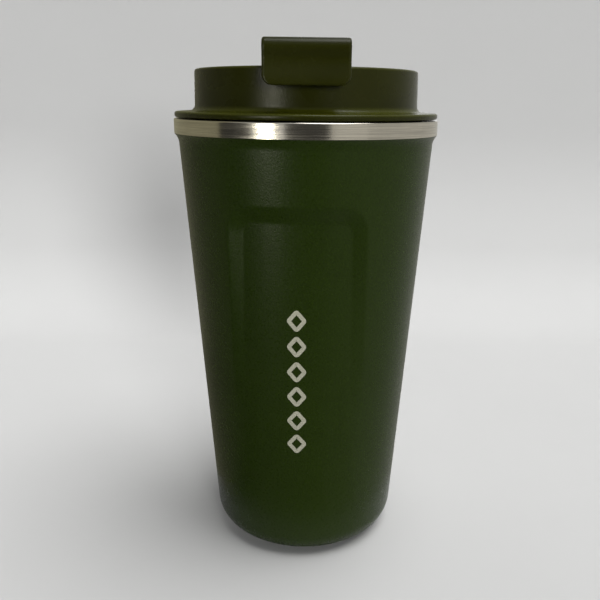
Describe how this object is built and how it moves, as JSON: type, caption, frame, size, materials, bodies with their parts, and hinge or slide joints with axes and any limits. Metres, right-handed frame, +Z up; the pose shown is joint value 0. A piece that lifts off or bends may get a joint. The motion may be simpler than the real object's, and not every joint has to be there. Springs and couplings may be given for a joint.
{
  "type": "insulated travel mug",
  "caption": "Tall tapered double-walled steel mug with a bare rim band, pressed grip panels and a screw-in lid whose hinged flip lever closes the drinking hole.",
  "frame": {"origin": "centre of the underside, on the surface that the mug stands on", "axes": "+Z up along the mug's axis; the lever's tab points to -Y, so +X is on the viewer's right"},
  "size_m": [0.09, 0.09, 0.1761],
  "materials": {
    "powder_coat": "dark green powder coat with a fine grain",
    "bare_steel": "stainless steel, brushed round the rim",
    "lid_plastic": "olive green moulded polypropylene, finely textured",
    "seal_silicone": "dark silicone rubber",
    "pad_silicone": "matte dark silicone rubber",
    "solder_glass": "dull brown solder glass",
    "getter_metal": "dull grey sintered metal"
  },
  "bodies": {
    "cup": {"outer_shell": "powder_coat", "inner_liner": "bare_steel", "shell_base": "bare_steel", "seal_bead": "solder_glass", "getter": "getter_metal", "getter_strap": "bare_steel", "base_pad": "pad_silicone"},
    "seal": {"lid_seal": "seal_silicone"},
    "lid": {"lid_body": "lid_plastic", "lid_plug": "lid_plastic", "hinge_pin": "bare_steel"},
    "lever": {"flip_lever": "lid_plastic", "spout_stopper": "seal_silicone", "vent_plug": "seal_silicone"}
  },
  "joints": [
    {"name": "lid_lift", "type": "slide", "parent": "cup", "child": "seal", "axis": [0, 0, 1], "range_m": [0, 0.01502]},
    {"name": "lid_turn", "type": "hinge", "parent": "seal", "child": "lid", "pos_m": [0, 0, 0.1528], "axis": [0, 0, 1], "range_deg": [0, 450]},
    {"name": "lever_hinge", "type": "hinge", "parent": "lid", "child": "lever", "pos_m": [0, 0.016, 0.1646], "axis": [-1, 0, 0], "range_deg": [0, 110]}
  ],
  "couplings": [
    {"joint": "lid_lift", "follows": "lid_turn", "m_per_rad": 0.0019099}
  ]
}
